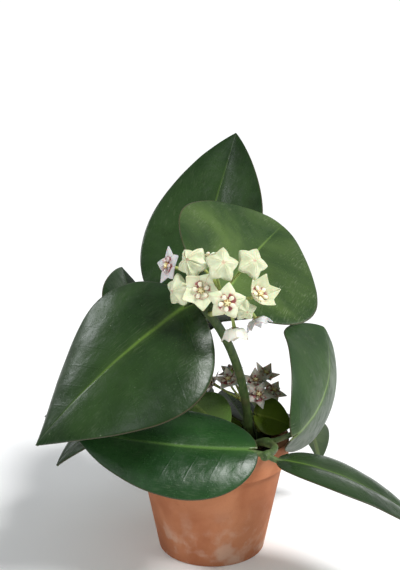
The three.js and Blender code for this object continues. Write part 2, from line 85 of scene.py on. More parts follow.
# A bud's numbers are shares of its radius.
BUD = Sizes(rim=0.56, crown=0.5, waist=0.7, hollow=0.15, slit=0.05, seam_width=0.1, swelling=0.03,
            apex=0.05, apex_width=0.12, lean=0.24, wander=0.06)
STALK = Sizes(peduncle=1.5, pedicel=0.8, flare=1.25, reach=0.4, behind_bud=0.3, into_hub=0.02)
SEPAL = Sizes(length=2.6, foot=1.1, tip=0.1, flatness=0.35, spread=72, out=0.9, back=1.1,
              behind_flower=0.2)
VINE = Sizes(swell=0.8, swell_length=4, ripple=0.06, ripple_scale=300)

# Each vine: its radius at both ends, and its points from inside the soil to its tip.
VINES = {
    "front": dict(radius=(2.95, 2.55), points=[
        (28, 2, 47), (26.5, -3, 72), (24, -11, 88), (19.5, -28, 117), (13.4, -42, 140),
        (5, -54, 160.5), (-4, -62, 176), (-6, -63, 181)]),
    "middle": dict(radius=(2.6, 2.1), points=[
        (-14, 11, 47), (-14.5, 10, 75), (-15.5, 7, 104), (-16, 5, 124), (-16.5, 5, 143),
        (-16.8, 7, 154), (-17, 11, 164), (-17, 12, 168)]),
    "right": dict(radius=(2.4, 2.2), points=[
        (33, 13, 48), (33, 8, 66), (33, 4, 75), (32.5, 2, 80)]),
    "rear": dict(radius=(2.4, 2.2), points=[
        (-5, 25, 48), (-5, 27, 72), (-6, 29, 83), (-6, 29.5, 88)]),
    "trailing": dict(radius=(2.5, 2), points=[
        (16, -16, 48), (20, -20, 70), (31, -33, 84), (37, -44, 86.5), (36, -60, 89),
        (31, -71, 90.5), (29, -74, 90.5)]),
}


def leaf_plan(vine, node, base, heading, rise, roll, size, bend, point=0.9, blunt=0,
              look="dark", slot="leaf"):
    """A leaf: its vine, the point on it that the petiole grows from, and the base of the blade.

    Then the midrib's heading at the base (0 = +X, 90 = away from the front) and its swing, its rise
    at base and tip, the blade's roll at both, its length and width, its fold along the midrib and
    the curl of each half, how pointed and how blunt its tip is, and its look from LEAF_LOOKS.
    """
    return Sizes(**locals())


def bloom(at, face, turn, petals=None, size=1, bud=None, parting=1, look="cream"):
    """A flower: its place, the way it faces, a turn about that, and its petals' angles of rise.

    A bud has its radius instead, and how far its seams part. The look is from FLOWER_LOOKS.
    """
    return Sizes(**locals())


LEAVES = {
    "front_left": leaf_plan("front", (-4, -62, 176), (-17, -70.5, 178.5), (204, -11), (-30, -50),
        (38, 17), (112, 102), (1, 20), point=1),
    "front_right": leaf_plan("front", (-4, -62, 176), (4.8, -69, 184.6), (73.5, -13), (14, 16),
        (-40, -39.5), (115, 104), (14, 8.5), blunt=0.3, look="sunny"),
    "tall": leaf_plan("middle", (-17, 11, 164), (-15, 23, 165), (74.5, -29.5), (47.5, 68.5),
        (17, -13.5), (134, 98), (14, 7.5)),
    "right": leaf_plan("trailing", (34, -38, 85.5), (51.8, -44.5, 94), (51, 45), (14, 32),
        (-106, -44), (114, 88), (-11, 21), point=0.5, blunt=0.3, look="dusty"),
    "low_front": leaf_plan("trailing", (31, -71, 90.5), (20, -69, 93), (184, -6), (2, 13), (32, 33),
        (104, 66), (5, 34), look="mossy"),
    "low_front_right": leaf_plan("trailing", (31, -71, 90.5), (42, -75, 88), (348, 10), (-5, -45),
        (8, 4), (92, 68), (12, 25)),
    "left_rear": leaf_plan("middle", (-16, 5, 124), (-46, 1, 126), (99, 11), (25, 36), (-32, -45),
        (102, 76), (14, 9)),
    "small_front": leaf_plan("middle", (-15.5, 7, 104), (-14, -10, 102), (305, -8), (-6, -14),
        (-35, -20), (44, 34), (8, 12), look="young", slot="young_leaf"),
    "upper_rear": leaf_plan("middle", (-16.6, 6, 150), (-5, 3, 155), (38, 4), (6, -8), (0, -10),
        (100, 70), (14, 12)),
    "mid_rear": leaf_plan("middle", (-16.3, 5, 138), (-14, 16, 143), (92, 4), (8, 0), (5, 0),
        (98, 56), (14, 14)),
    "mid_left": leaf_plan("middle", (-15.5, 7, 104), (-28, 8, 105), (178, -4), (8, -35), (-4, 0),
        (92, 64), (14, 14)),
    "low_right_rear": leaf_plan("right", (33, 4, 75), (27.8, 13.5, 80.5), (99, 2), (14, -28),
        (9, 2), (88, 51), (10, 16), look="olive", slot="young_leaf"),
    "low_right": leaf_plan("right", (33, 4, 75), (46.4, 11.8, 81.5), (56, -6), (2, -80), (4, 0),
        (86, 36), (12, 14)),
    "dark_right": leaf_plan("front", (24, -11, 88), (28.5, -10, 94), (6, 0), (-14, -26), (-45, -45),
        (26, 28), (16, 8), look="olive"),
    "dark_centre": leaf_plan("front", (24, -11, 88), (21, 0, 87), (107, 0), (12, 10), (-10, -10),
        (43, 28), (16, 8)),
    "low_rear": leaf_plan("rear", (-6, 29, 83), (-11, 42, 85.5), (126, -6), (8, -50), (0, 0),
        (94, 60), (12, 16)),
    "low_left_rear": leaf_plan("rear", (-6, 29, 83), (-27, 26, 84), (195, 6), (10, -50), (0, 0),
        (92, 52), (12, 16)),
}

# Each umbel: where its peduncle leaves the vine, the point it bends towards, where its pedicels
# start, and its flowers.
UMBELS = {
    "front": dict(start=(-2.6, -60.7, 173.5), bend=(0, -80, 174), hub=(4, -79, 189), flowers=[
        bloom((6, -104, 188.5), (0.12, -1, -0.12), 18, (10, -20)),
        bloom((-7.3, -93.5, 193), (-0.15, -1, 0.05), 54, (20, 58), size=1.08),
        bloom((24, -90.5, 190), (0.45, -0.6, 0.5), 30, (44, 78), size=1.2),
        bloom((-9.3, -84.5, 205.3), (-0.5, -0.8, 0.3), 30, bud=9.5, parting=3),
        bloom((2, -92, 205), (0.3, -0.9, 0.35), 26, bud=9.8),
        bloom((17.6, -85.6, 204.7), (0.45, -0.8, 0.5), 12, bud=9.6),
        bloom((-16, -83.5, 191.5), (-0.8, -0.6, 0), 40, bud=9.3),
        bloom((15.5, -92.2, 183), (0.2, -0.9, -0.2), 30, bud=6.4),
        bloom((10.8, -89.4, 170.4), (0.1, -0.25, -1), 20, (52, 86), size=1.05, look="bell"),
        bloom((23.5, -79, 173.5), (0.4, -0.25, -0.85), 30, (75, 45), look="lilac"),
        bloom((-26, -75, 203.6), (-0.8, -0.5, 0.25), 50, (0, 15), look="lilac"),
        bloom((-4, -75.5, 208), (-0.2, 0.35, 0.9), 30, (10, 35), size=0.8)]),
    # The rear umbel's grey flower looks are painted shade.
    "rear": dict(start=(32.8, 3, 77.5), bend=(29, -7, 87), hub=(22, 3.4, 98.1), flowers=[
        bloom((11, -1, 115.5), (-0.2, -0.5, 0.85), 20, (20, 40), size=0.95, look="ashen"),
        bloom((0.5, 10, 109.5), (-0.9, 0.1, 0.5), 0, (10, 20), size=0.85, look="dusky"),
        bloom((29.5, 6, 112.5), (0.05, -0.45, 0.85), 18, (20, 45), look="dusky"),
        bloom((37.5, 20.5, 113.5), (0.3, -0.4, 0.8), 0, (25, 50), size=0.95, look="ashen"),
        bloom((30.5, -9, 107.5), (0.15, -0.65, 0.6), 0, (5, 20), size=0.95, look="dusky"),
        bloom((13, 20, 116), (-0.3, 0.8, 0.7), 18, (10, 30), size=0.88, look="dusky"),
        bloom((42, 8, 105), (0.4, -0.5, 0.7), 0, (0, 20), size=0.95, look="ashen")]),
}

# ---- colours ----

# Each leaf's upper face: deep and light green, the rib, its gloss, its dust and the rib's glow.
LEAF_LOOKS = {
    "dark": dict(
        dark=(0.008, 0.025, 0.005), light=(0.022, 0.052, 0.012), rib=(0.095, 0.17, 0.025),
        dustiness=0.12),
    # This look: a lighter copy of the deep greens, which paints sunlight on the topmost leaf.
    "sunny": dict(
        dark=(0.014, 0.04, 0.008), light=(0.07, 0.12, 0.027), rib=(0.22, 0.35, 0.07),
        dustiness=0.4, glow_reach=0.026),
    "dusty": dict(
        dark=(0.015, 0.042, 0.011), light=(0.034, 0.074, 0.018), rib=(0.15, 0.24, 0.06),
        gloss=0.38, dustiness=0.3),
    "mossy": dict(
        dark=(0.008, 0.034, 0.008), light=(0.022, 0.07, 0.018), rib=(0.09, 0.18, 0.04),
        dustiness=0.12),
    "young": dict(
        dark=(0.062, 0.13, 0.028), light=(0.115, 0.2, 0.042), rib=(0.24, 0.33, 0.08)),
    # This look: a yellow-green that paints daylight shining through the low leaves from behind.
    "olive": dict(
        dark=(0.06, 0.1, 0.007), light=(0.12, 0.18, 0.016), rib=(0.2, 0.26, 0.04),
        dustiness=0.1),
}

# Each kind of flower: the sinus between two petals as a share of the reach of their tips, and the
# colours of its corona (inner, outer), of its petals (deep, pale, tip) and of their backs (deep,
# pale, and a foot where it isn't green).
FLOWER_LOOKS = {
    "cream": dict(
        sinus=0.64, corona=((0.7, 0.58, 0.32), (0.8, 0.775, 0.6)),
        petal=((0.6, 0.635, 0.41), (0.76, 0.775, 0.56), (0.58, 0.63, 0.39)),
        back=((0.56, 0.59, 0.38), (0.7, 0.71, 0.52))),
    "bell": dict(
        sinus=0.8, corona=((0.5, 0.3, 0.2), (0.62, 0.56, 0.44)),
        petal=((0.5, 0.5, 0.4), (0.62, 0.62, 0.52), (0.52, 0.52, 0.44)),
        back=((0.52, 0.52, 0.43), (0.64, 0.64, 0.56), (0.22, 0.08, 0.04))),
    "lilac": dict(
        sinus=0.58, corona=((0.42, 0.2, 0.18), (0.5, 0.42, 0.4)),
        petal=((0.54, 0.54, 0.53), (0.68, 0.68, 0.68), (0.54, 0.52, 0.56)),
        back=((0.56, 0.56, 0.56), (0.7, 0.7, 0.72))),
    # This look: a dimmed, greyed copy of the cream petals, painted shade for the rear umbel.
    "dusky": dict(
        sinus=0.48, corona=((0.3, 0.1, 0.05), (0.34, 0.29, 0.22)),
        petal=((0.45, 0.425, 0.36), (0.62, 0.585, 0.51), (0.52, 0.49, 0.46)),
        back=((0.42, 0.395, 0.34), (0.56, 0.525, 0.46))),
    # This look: another greyed copy of the cream petals, paler than the one above, painted shade
    # for the rest of the rear umbel.
    "ashen": dict(
        sinus=0.48, corona=((0.4, 0.16, 0.1), (0.52, 0.46, 0.38)),
        petal=((0.6, 0.57, 0.5), (0.76, 0.73, 0.66), (0.64, 0.62, 0.58)),
        back=((0.56, 0.53, 0.47), (0.72, 0.69, 0.62))),
}

# ---- light and camera ----

SUN = Sizes(strength=3.15, softness=18, stands_towards=(0.5, -0.42, 0.85))
# Each window: its place and what it faces, its width and height, in metres, and its watts.
WINDOWS = {
    "front_window": ((-0.5, -0.9, 0.75), (0, -0.03, 0.17), (0.4, 0.7), 2.6),
    "right_window": ((0.9, 0.1, 0.6), (0, -0.03, 0.17), (0.3, 0.3), 1.6),
    "left_window": ((-0.74, 0.4, 0.57), (0, 0, 0.2), (0.25, 0.25), 1.3),
}
WINDOW_COLOUR = (0.94, 0.97, 1)
ROOM = Sizes(colour=(0.97, 0.99, 1), light=0.35, backdrop=1.1)
FLOOR = Sizes(size=60, white=0.95)
# The camera's reach is in pixels of a picture that is 570 pixels high.
CAMERA = Sizes(sees=(-8, -72, 192), distance=450, elevation=10, reach=800, picture=570, film=36)


def mix(first, second, share):
    return first + (second - first) * share


def metres(point):
    return Vector(point) * MM


# ---- shader expressions ----

class Wire:
    """A socket in a material's node tree. Arithmetic on it adds Math nodes."""

    def __init__(self, tree, socket=None):
        self.tree = tree
        self.socket = socket

    def node(self, kind, settings, inputs, output=0):
        """Adds any other node: its settings first, then the values or links of its sockets."""
        node = self.tree.nodes.new("ShaderNode" + kind)
        for name, value in settings.items():
            setattr(node, name, value)
        for name, value in inputs.items():
            if isinstance(value, Wire):
                self.tree.links.new(value.socket, node.inputs[name])
            else:
                node.inputs[name].default_value = value
        return Wire(self.tree, node.outputs[output])

    def math(self, operation, *others):
        return self.node("Math", dict(operation=operation), dict(enumerate((self, *others))))

    def __add__(self, other):
        return self.math("ADD", other)

    def __sub__(self, other):
        return self.math("SUBTRACT", other)

    def __rsub__(self, other):
        return self.node("Math", dict(operation="SUBTRACT"), {0: other, 1: self})

    def __mul__(self, other):
        return self.math("MULTIPLY", other)

    def __truediv__(self, other):
        return self.math("DIVIDE", other)

    def __abs__(self):
        return self.math("ABSOLUTE")

    __radd__ = __add__
    __rmul__ = __mul__

    def between(self, low, high):
        """0 below low, 1 above high, smooth between. Falls instead where high is the smaller."""
        return self.node(
            "MapRange", dict(interpolation_type="SMOOTHSTEP"),
            {"Value": self, "From Min": low, "From Max": high})

    def blend(self, first, second):
        """The colour that goes from first to second as this goes from 0 to 1."""
        return self.node(
            "Mix", dict(data_type="RGBA"), {0: self, 6: rgba(first), 7: rgba(second)}, 2)

    def split(self):
        separate = self.tree.nodes.new("ShaderNodeSeparateXYZ")
        self.tree.links.new(self.socket, separate.inputs[0])
        return [Wire(self.tree, output) for output in separate.outputs]


def rgba(colour):
    return colour if isinstance(colour, Wire) else (*colour, 1)


class Paint:
    """A new material with a Principled shader, and the patterns that its colours are made from."""

    def __init__(self, name, **constants):
        self.material = bpy.data.materials.new(name)
        self.material.use_nodes = True
        self.tree = self.material.node_tree
        self.shader = self.tree.nodes["Principled BSDF"]
        self.start = Wire(self.tree)
        self.colour = None
        for socket, value in constants.items():
            self.shader.inputs[socket.replace("_", " ")].default_value = value

    def here(self):
        return self.start.node("TexCoord", {}, {}, "Object")

    def note(self, name):
        """The three numbers that each point of the piece holds under a name."""
        return self.start.node("Attribute", dict(attribute_name=name), {}, "Vector")

    def stretched(self, where, scale):
        return self.start.node("Mapping", {}, {"Vector": where, "Scale": scale})

    def noise(self, size, detail=2, where=None, distortion=0):
        """Cloudy values from 0 to 1, size metres across."""
        return self.start.node(
            "TexNoise", {},
            {"Vector": where or self.here(), "Scale": 1 / size, "Detail": detail,
             "Distortion": distortion}, "Fac")

    def cells(self, size):
        """The distance to the middle of the nearest of many cells, size metres across."""
        return self.start.node(
            "TexVoronoi", {}, {"Vector": self.here(), "Scale": 1 / size}, "Distance")

    def ground(self, mask, first, second):
        """Starts the colour: first where the mask is 0, second where it is 1."""
        self.colour = mask.blend(first, second)

    def over(self, mask, strength, colour):
        """Lays a colour over what is there, where the mask says and as strongly as strength."""
        self.colour = (mask * strength).blend(self.colour, colour)

    def done(self, roughness, height, depth, strength):
        """Connects the colour, the roughness and the relief, whose depth is in metres."""
        relief = self.start.node(
            "Bump", {}, {"Height": height, "Distance": depth, "Strength": strength})
        for socket, wire in zip(("Base Color", "Roughness", "Normal"),
                                (self.colour, roughness, relief)):
            self.tree.links.new(wire.socket, self.shader.inputs[socket])
        return self.material


# ---- materials ----

def vein_course(s, side):
    """A number that is the same all along a side vein, side metres from the rib."""
    return s - side * VEINS.slant + side * side * VEINS.arch


def between_veins(paint, along, side, flank):
    """1 on the leaf between its side veins, 0 along them. The flank is 0.5 in a vein's middle."""
    course = vein_course(along, side) + (paint.noise(0.03) - 0.5) * VEINS.wander
    return abs((course * VEINS.pairs).math("FRACT") - 0.5).between(0.5, flank)


def leaf_upper(name, dark, light, rib, gloss=0.27, dustiness=0.25, glow_reach=0.007):
    """The upper face: deep mottled green, a soft pale rib that fades, veins that barely show."""
    paint = Paint(name, Coat_Weight=0.05, Coat_Roughness=0.2, Specular_IOR_Level=0.22)
    across, along, margin = paint.note("blade").split()
    side = abs(across)
    paint.ground(paint.noise(0.045, 4, distortion=0.6).between(0.3, 0.72), dark, light)

    # Brownish patches, and a deeper green towards the margin.
    brownish = [value * shift for value, shift in zip(dark, (1.25, 0.8, 0.9))]
    paint.over(paint.noise(0.02, 3, distortion=0.4).between(0.52, 0.72), 0.35, brownish)
    paint.over(margin.between(0.012, 0), 0.3, dark)

    # The fields between the side veins, which leave the rib at even steps and arch to the tip.
    field = between_veins(paint, along, side, 0.44)
    field = field * side.between(0, 0.006) * margin.between(0, 0.014)
    paint.over(field, 0.12, light)

    # The rib is widest and palest near the petiole, with a soft glow round it.
    ribbed = (side / (0.0016 - along * 0.001)).between(1.3, 0.1)
    glow = side.between(glow_reach, 0) * along.between(0.9, 0)
    paint.over(glow, 0.4, [mix(*pair, 0.4) for pair in zip(light, rib)])
    paint.over(ribbed * along.between(1.15, 0.15), 0.85, rib)

    # Fine lengthwise streaks, dust, pale pores and flecks, and a dry margin.
    lengthwise = paint.stretched(paint.note("blade"), (1, 0.012, 0))
    streak = paint.noise(0.0007, 3, where=lengthwise).between(0.5, 0.75)
    dust = paint.noise(0.022, 3).between(0.42, 0.7)
    paint.over(streak * dust, dustiness, (0.24, 0.28, 0.17))
    pore = paint.cells(0.0013).between(0.3, 0.12) * paint.noise(0.009, 2).between(0.4, 0.65)
    paint.over(pore, 0.3, [value * 2.4 for value in light])
    paint.over(paint.cells(0.006).between(0.07, 0.03) * dust, 0.4, (0.34, 0.38, 0.26))
    paint.over(margin.between(0.0005, 0.0001), 0.5, (0.07, 0.045, 0.025))

    rough = paint.noise(0.008, 4).between(0.35, 0.75)
    grain = paint.noise(0.0022, 3)
    height = grain * 0.3 - pore * 0.3 - field * 0.3 - ribbed * 0.8 + rough * 1.2
    return paint.done(gloss + rough * 0.16 + streak * 0.1, height, 0.0003, 0.5)


def leaf_under(name, dark, light, rib):
    """The underside: paler and matter, with fine side veins and a raised rib."""
    paint = Paint(name, Specular_IOR_Level=0.35)
    across, along, margin = paint.note("blade").split()
    side = abs(across)
    paint.ground(paint.noise(0.02, 3).between(0.3, 0.7), dark, light)
    field = between_veins(paint, along, side, 0.42) * margin.between(0, 0.012)
    ribbed = side.between(0.0022, 0.0009)
    paint.over(field, 0.25, rib)
    paint.over(ribbed, 0.8, rib)
    height = field + ribbed * 1.6 + paint.cells(0.0018) * 0.4
    return paint.done(0.5 + paint.noise(0.01) * 0.2, height, 0.0002, 0.7)


def petal_face(name, deep, pale, tip):
    """The inside of a petal: waxy and velvety, dark red in blotches round the corona only."""
    paint = Paint(name, Subsurface_Weight=0.2, Subsurface_Scale=0.002, Coat_Weight=0.1,
                  Coat_Roughness=0.4, Sheen_Weight=0.15)
    share, offset, reach = paint.note("petal").split()
    cloud = paint.noise(0.004, 3)
    paint.ground(cloud.between(0.3, 0.75), deep, pale)
    paint.over(share.between(0.75, 1), 0.4, tip)
    paint.over(offset.between(0.9, 1) * share.between(0.3, 0.6), 0.3, (0.46, 0.46, 0.26))
    blotch = paint.noise(0.0035, 2)
    paint.over(reach.between(0.0064, 0.0046) * blotch.between(0.3, 0.6), 0.4, (0.55, 0.16, 0.14))
    paint.over(reach.between(0.0056, 0.0046) * blotch.between(0.48, 0.58), 0.92,
               (0.24, 0.012, 0.025))
    height = paint.cells(0.00045) + paint.noise(0.0016, 3) * 0.8
    return paint.done(0.4 + cloud * 0.2, height, 0.00012, 0.6)


def petal_back(name, deep, pale, foot=(0.4, 0.44, 0.14)):
    """The outside of a petal: smoother, greener towards the calyx, with faint lengthwise lines."""
    paint = Paint(name, Subsurface_Weight=0.2, Subsurface_Scale=0.002, Coat_Weight=0.15,
                  Coat_Roughness=0.35)
    share, offset, _ = paint.note("petal").split()
    paint.ground(paint.noise(0.005, 3).between(0.3, 0.7), deep, pale)
    paint.over(share.between(0.5, 0.1), 0.6, foot)
    line = abs((offset * 4).math("FRACT") - 0.5)
    paint.over(line.between(0.42, 0.5), 0.15, (0.5, 0.5, 0.3))
    return paint.done(0.4 + paint.noise(0.003) * 0.15, paint.noise(0.0008, 3), 0.0001, 0.5)


def corona_wax(name, inner, outer):
    """The corona's knobs: polished, with a warm foot."""
    paint = Paint(name, Subsurface_Weight=0.3, Subsurface_Scale=0.0015, Coat_Weight=0.5,
                  Coat_Roughness=0.15)
    share, low, _ = paint.note("petal").split()
    paint.ground(share.between(0.1, 0.5), inner, outer)
    paint.over(low.between(0.3, 0), 0.5, (0.5, 0.1, 0.08))
    return paint.done(0.22 + paint.noise(0.0008) * 0.15, paint.noise(0.0007, 2), 0.00008, 0.5)


def heart_wax():
    """The flower's heart: a small waxy yellow star with brown slits at its rim."""
    paint = Paint("heart_yellow", Coat_Weight=0.4, Coat_Roughness=0.2)
    share, slit, _ = paint.note("petal").split()
    paint.ground(share.between(0.2, 0.9), (0.8, 0.72, 0.38), (0.62, 0.44, 0.14))
    paint.over(slit, 0.8, (0.12, 0.03, 0.015))
    return paint.done(0.3 + paint.noise(0.0006) * 0.15, paint.noise(0.0005, 2), 0.00006, 0.5)


def bud_wax():
    """Closed buds: waxy cream with a green foot, painted shade along the seams and a pink apex."""
    paint = Paint("bud_wax", Subsurface_Weight=0.2, Subsurface_Scale=0.002, Coat_Weight=0.12,
                  Coat_Roughness=0.35)
    height, seam, rim = paint.note("petal").split()
    cloud = paint.noise(0.004, 3)
    paint.ground(cloud.between(0.3, 0.75), (0.53, 0.565, 0.35), (0.71, 0.735, 0.52))
    paint.over(height.between(0.45, 0.05), 0.55, (0.46, 0.56, 0.2))
    paint.over(rim.between(0.16, 0.03), 0.6, (0.62, 0.24, 0.2))
    # Painted shade along the seams, where the petals part in thin slits, fading out towards the
    # rim.
    paint.over(seam * rim.between(1, 0.5), 0.4, (0.3, 0.3, 0.13))
    relief = paint.cells(0.0005) + paint.noise(0.002, 3)
    return paint.done(0.38 + cloud * 0.2, relief, 0.00012, 0.6)


def stalk_skin():
    """Pedicels and peduncle: fleshy yellow-green, flushed brown here and there, finely downy."""
    paint = Paint("stalk_green", Subsurface_Weight=0.15, Subsurface_Scale=0.001)
    flush = paint.noise(0.008, 3)
    paint.ground(flush.between(0.35, 0.7), (0.3, 0.38, 0.09), (0.46, 0.48, 0.16))
    paint.over(flush.between(0.62, 0.8), 0.6, (0.3, 0.14, 0.06))
    return paint.done(0.45 + paint.noise(0.002) * 0.2, paint.noise(0.0006, 2), 0.0001, 0.5)


def calyx_skin():
    """The small calyx behind each flower: brown-red with green bases."""
    paint = Paint("calyx_red", Specular_IOR_Level=0.4)
    paint.ground(paint.noise(0.0015, 2).between(0.35, 0.7), (0.24, 0.06, 0.04), (0.34, 0.26, 0.09))
    return paint.done(0.5 + paint.noise(0.001) * 0.2, paint.noise(0.0006, 2), 0.0001, 0.5)


def vine_skin():
    """Vines: smooth grey-green skin, faint lengthwise streaks and a few pale breathing spots."""
    paint = Paint("vine_skin", Specular_IOR_Level=0.45)
    streak = paint.noise(0.0022, 4, where=paint.stretched(paint.here(), (1, 1, 0.22)))
    paint.ground(streak.between(0.3, 0.7), (0.038, 0.076, 0.016), (0.082, 0.128, 0.034))
    paint.over(paint.noise(0.02, 2).between(0.55, 0.75), 0.35, (0.15, 0.1, 0.05))
    spot = paint.cells(0.0034).between(0.12, 0.05)
    paint.over(spot, 0.5, (0.3, 0.28, 0.18))
    return paint.done(0.45 + streak * 0.25, streak + spot, 0.0002, 0.6)


def fired_clay():
    """Unglazed clay: orange-brown, with paler mineral bloom low down and a darker rim."""
    paint = Paint("fired_clay", Specular_IOR_Level=0.25)
    _, _, height = paint.here().split()
    cloud = paint.noise(0.03, 5, distortion=0.4)
    grain = paint.noise(0.0012, 3)
    paint.ground(cloud.between(0.3, 0.72), (0.36, 0.125, 0.055), (0.5, 0.205, 0.1))
    bloom = paint.noise(0.014, 6).between(0.46, 0.66) * height.between(0.05, 0)
    paint.over(bloom, 0.55, (0.62, 0.47, 0.37))
    paint.over(height.between(0.066, 0.074) * cloud.between(0.3, 0.6), 0.35, (0.3, 0.13, 0.08))
    paint.over(grain.between(0.6, 0.75), 0.25, (0.24, 0.08, 0.04))
    thrown = paint.noise(0.0016, 1, where=paint.stretched(paint.here(), (0.04, 0.04, 1)))
    return paint.done(
        0.82 + bloom * 0.12, grain * 0.6 + thrown * 0.5 + bloom * 0.3, 0.0003, 0.6)


def potting_soil():
    """Damp potting soil: dark brown crumbs."""
    paint = Paint("potting_soil", Specular_IOR_Level=0.2)
    crumb = paint.cells(0.0026)
    cloud = paint.noise(0.006, 5)
    paint.ground(cloud.between(0.3, 0.7), (0.016, 0.01, 0.007), (0.075, 0.045, 0.027))
    paint.over(crumb.between(0.25, 0.6), 0.6, (0.012, 0.008, 0.006))
    return paint.done(0.86 + cloud * 0.1, cloud * 1.2 - crumb, 0.0012, 0.8)


def bark():
    """Bark chips in the soil."""
    paint = Paint("bark_chip", Specular_IOR_Level=0.25)
    grain = paint.noise(0.0016, 4)
    paint.ground(grain.between(0.3, 0.7), (0.045, 0.022, 0.012), (0.2, 0.11, 0.06))
    return paint.done(0.8 + grain * 0.15, grain, 0.0004, 0.8)


def make_materials():
    """Every leaf's and flower's material, by its look and what it covers."""
    made = {
        "leaf_under": leaf_under(
            "leaf_underside", (0.05, 0.095, 0.04), (0.075, 0.135, 0.055), (0.16, 0.24, 0.09)),
        "young_under": leaf_under(
            "young_underside", (0.14, 0.22, 0.05), (0.22, 0.3, 0.07), (0.34, 0.42, 0.14)),
        "heart": heart_wax(),
        "bud": bud_wax(),
        "stalk": stalk_skin(),
        "sepal": calyx_skin(),
        "vine": vine_skin(),
    }
    for look, colours in LEAF_LOOKS.items():
        made[look + "_upper"] = leaf_upper("leaf_" + look, **colours)
    for look, colours in FLOWER_LOOKS.items():
        made[look + "_petal"] = petal_face("petal_" + look, *colours["petal"])
        made[look + "_back"] = petal_back("petal_back_" + look, *colours["back"])
        made[look + "_corona"] = corona_wax("corona_" + look, *colours["corona"])
    return made


# ---- making and finishing pieces ----

def clear_selection():
    if bpy.context.mode != "OBJECT":
        bpy.ops.object.mode_set(mode="OBJECT")
    bpy.ops.object.select_all(action="DESELECT")


def choose(*pieces):
    clear_selection()
    for piece in pieces:
        piece.select_set(True)
    bpy.context.view_layer.objects.active = pieces[0]


def new_piece(kind, **sizes):
    """Adds one of Blender's mesh primitives, alone in the selection."""
    clear_selection()
    getattr(bpy.ops.mesh, f"primitive_{kind}_add")(**sizes)
    return bpy.context.object


def edit(piece):
    """Opens a piece for editing, all of it selected."""
    choose(piece)
    bpy.ops.object.mode_set(mode="EDIT")
    bpy.ops.mesh.select_all(action="SELECT")


def close():
    bpy.ops.object.mode_set(mode="OBJECT")


def apply_all(piece):
    choose(piece)
    for modifier in list(piece.modifiers):
        bpy.ops.object.modifier_apply(modifier=modifier.name)


def join(*pieces):
    """Joins pieces into the first and returns it."""
    choose(*pieces)
    bpy.ops.object.join()
    return pieces[0]


def coat(piece, material, angle=None):
    """Gives a piece a material and smooth shading, but for edges sharper than an angle, if any."""
    choose(piece)
    if angle is None:
        bpy.ops.object.shade_smooth()
    else:
        bpy.ops.object.shade_smooth_by_angle(angle=radians(angle))
    piece.data.materials.append(material)
    return piece


def round_off(piece):
    """Rounds a piece with one level of subdivision, and applies all its modifiers."""
    soft = piece.modifiers.new("soft", "SUBSURF")
    soft.levels = soft.render_levels = 1
    apply_all(piece)
    return piece


def give_wall(piece, thickest, thinnest, face, back):
    """Closes a surface's seams and makes it a wall, as thick as its group says, with two faces."""
    edit(piece)
    bpy.ops.mesh.remove_doubles(threshold=0.01 * MM)
    close()
    coat(piece, face)
    coat(piece, back)
    wall = piece.modifiers.new("thickness", "SOLIDIFY")
    wall.thickness = thickest * MM
    wall.offset = 0
    wall.vertex_group = "thick"
    wall.thickness_vertex_group = thinnest / thickest
    wall.material_offset = 1
    return round_off(piece)


def shape(piece, name, placing):
    """Moves each point of a primitive, and keeps three numbers for its material to read.

    placing takes the point's x, y and z, and gives its place, its numbers and, for a surface that
    becomes a wall, how thick the wall is there.
    """
    thick = piece.vertex_groups.new(name="thick")
    notes = []
    for vertex in piece.data.vertices:
        vertex.co, numbers, *share = placing(*vertex.co)
        notes.append(numbers)
        if share:
            thick.add([vertex.index], *share, "REPLACE")
    attribute = piece.data.attributes.new(name, "FLOAT_VECTOR", "POINT")
    for element, numbers in zip(attribute.data, notes):
        element.vector = numbers
    return piece


def copy_of(piece, matrix):
    """Another of a piece, with a mesh of its own, moved by a matrix."""
    twin = piece.copy()
    twin.data = piece.data.copy()
    twin.data.transform(matrix)
    bpy.context.collection.objects.link(twin)
    return twin


def ring_of_five(piece, place, first=0):
    """Five copies of a piece round a flower's axis, in place of the piece."""
    ring = [copy_of(piece, place @ Matrix.Rotation(radians(angle), 4, "Z"))
            for angle in range(first, first + 360, 72)]
    bpy.data.objects.remove(piece)
    return ring


def finish(piece, name, slot, *nodes):
    """Names a piece, puts its place in its mesh, and lets it stand for its nodes."""
    choose(piece)
    bpy.ops.object.transform_apply(location=True, rotation=True, scale=True)
    piece.name = name
    piece.data.name = name
    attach(piece, "root")
    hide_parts(*nodes)
    return piece


def arc(start, control, end, shares=(0, 0.33, 0.67, 1)):
    """Points of the curve from start to end that bends towards control."""
    return [start.lerp(control, share).lerp(control.lerp(end, share), share) for share in shares]


def tube(points, radius_at, material, cuts=5, sides=3):
    """A round stalk through points in millimetres.

    radius_at takes a place in metres and a share of the way, and gives millimetres.
    """
    curve = bpy.data.curves.new("stalk", "CURVE")
    curve.dimensions = "3D"
    piece = bpy.data.objects.new("stalk", curve)
    bpy.context.collection.objects.link(piece)
    spline = curve.splines.new("BEZIER")
    spline.bezier_points.add(len(points) - 1)
    for bezier, point in zip(spline.bezier_points, points):
        bezier.co = metres(point)
        bezier.handle_left_type = "AUTO"
        bezier.handle_right_type = "AUTO"
    choose(piece)
    bpy.ops.object.mode_set(mode="EDIT")
    bpy.ops.curve.select_all(action="SELECT")
    bpy.ops.curve.subdivide(number_cuts=cuts)
    close()
    finer = curve.splines[0].bezier_points
    steps = len(finer) - 1
    for number, bezier in enumerate(finer):
        bezier.radius = radius_at(bezier.co, number / steps)
    curve.bevel_depth = MM
    curve.bevel_resolution = sides
    curve.resolution_u = 3
    curve.use_fill_caps = True
    bpy.ops.object.convert(target="MESH")
    return coat(piece, material)


# ---- pot and soil ----

def wall_radius(z):
    return mix(POT.base, POT.shoulder, z / (POT.height - POT.rim_height))


